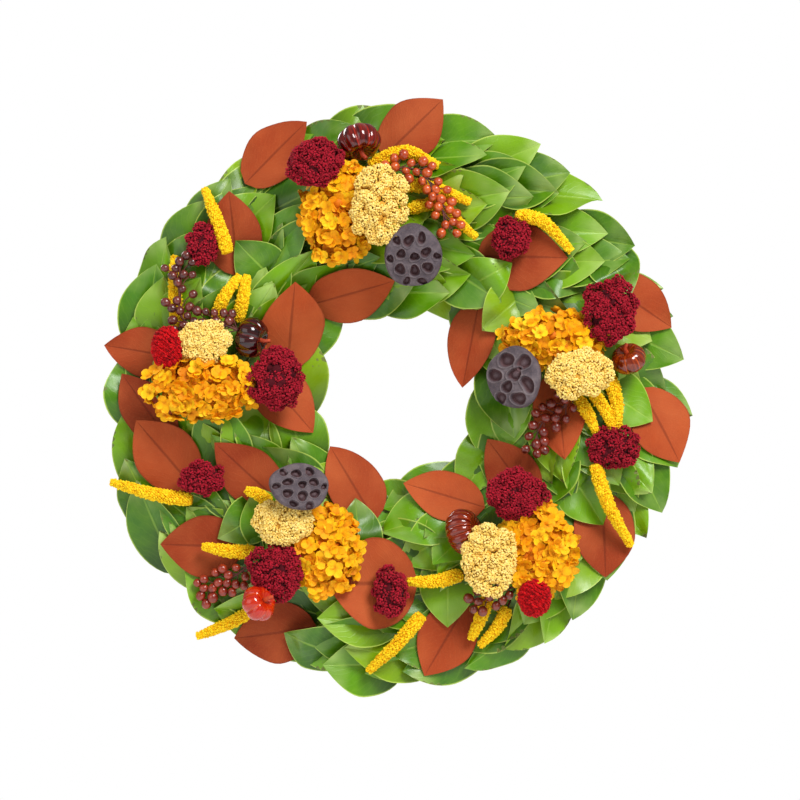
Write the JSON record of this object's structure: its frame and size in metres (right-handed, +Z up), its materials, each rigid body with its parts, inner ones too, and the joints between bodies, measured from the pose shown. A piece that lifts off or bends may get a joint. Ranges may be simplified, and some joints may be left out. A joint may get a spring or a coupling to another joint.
{
  "type": "harvest door wreath",
  "caption": "Round door wreath of glossy leaves on a foam ring, with bouquets of flowers, seed pods, small ribbed fruits, berries and spikes, and a wire hanger loop.",
  "frame": {"origin": "hang point at the inner top of the wire hanger loop, where a nail or hook holds it", "axes": "+Z up as hung, +Y towards the door behind the wreath, -Y towards the viewer"},
  "size_m": [0.566, 0.1265, 0.5655],
  "materials": {
    "foam": "matte",
    "wire": "satin",
    "leaf_green": "satin",
    "leaf_brown": "matte",
    "hydrangea_gold": "matte",
    "yarrow_yellow": "matte",
    "crimson": "matte",
    "celosia_red": "matte",
    "pumpkin_glossy": "gloss",
    "lotus_grey": "matte",
    "berry_copper": "satin",
    "spike_yellow": "matte"
  },
  "bodies": {
    "wreath": {"brown_leaf_01": "leaf_brown", "brown_leaf_02": "leaf_brown", "brown_leaf_03": "leaf_brown", "brown_leaf_04": "leaf_brown", "brown_leaf_05": "leaf_brown", "brown_leaf_06": "leaf_brown", "brown_leaf_07": "leaf_brown", "brown_leaf_08": "leaf_brown", "brown_leaf_09": "leaf_brown", "brown_leaf_10": "leaf_brown", "brown_leaf_11": "leaf_brown", "brown_leaf_12": "leaf_brown", "foam_form": "foam", "foliage_1": "leaf_green", "foliage_2": "leaf_green", "foliage_3": "leaf_green", "foliage_4": "leaf_green", "foliage_5": "leaf_green", "hanger_staple": "wire", "left_berries": "berry_copper", "left_celosia": "celosia_red", "left_crimson": "crimson", "left_hydrangea": "hydrangea_gold", "left_pumpkin": "pumpkin_glossy", "left_spikes": "spike_yellow", "left_yarrow": "yarrow_yellow", "lower_left_berries": "berry_copper", "lower_left_crimson": "crimson", "lower_left_hydrangea": "hydrangea_gold", "lower_left_lotus": "lotus_grey", "lower_left_pumpkin": "pumpkin_glossy", "lower_left_spikes": "spike_yellow", "lower_left_yarrow": "yarrow_yellow", "lower_right_berries": "berry_copper", "lower_right_celosia": "celosia_red", "lower_right_crimson": "crimson", "lower_right_hydrangea": "hydrangea_gold", "lower_right_pumpkin": "pumpkin_glossy", "lower_right_spikes": "spike_yellow", "lower_right_yarrow": "yarrow_yellow", "pick_bottom": "crimson", "pick_left": "crimson", "pick_right": "crimson", "pick_upper_left": "crimson", "pick_upper_right": "crimson", "right_berries": "berry_copper", "right_crimson": "crimson", "right_hydrangea": "hydrangea_gold", "right_lotus": "lotus_grey", "right_pumpkin": "pumpkin_glossy", "right_spikes": "spike_yellow", "right_yarrow": "yarrow_yellow", "top_berries": "berry_copper", "top_crimson": "crimson", "top_hydrangea": "hydrangea_gold", "top_lotus": "lotus_grey", "top_pumpkin": "pumpkin_glossy", "top_spikes": "spike_yellow", "top_yarrow": "yarrow_yellow"},
    "hanger": {"hanger_loop": "wire"}
  },
  "joints": [
    {"name": "hanger_swing", "type": "hinge", "parent": "wreath", "child": "hanger", "pos_m": [0, 0, -0.035], "axis": [-1, 0, 0], "range_deg": [-8, 95]}
  ]
}
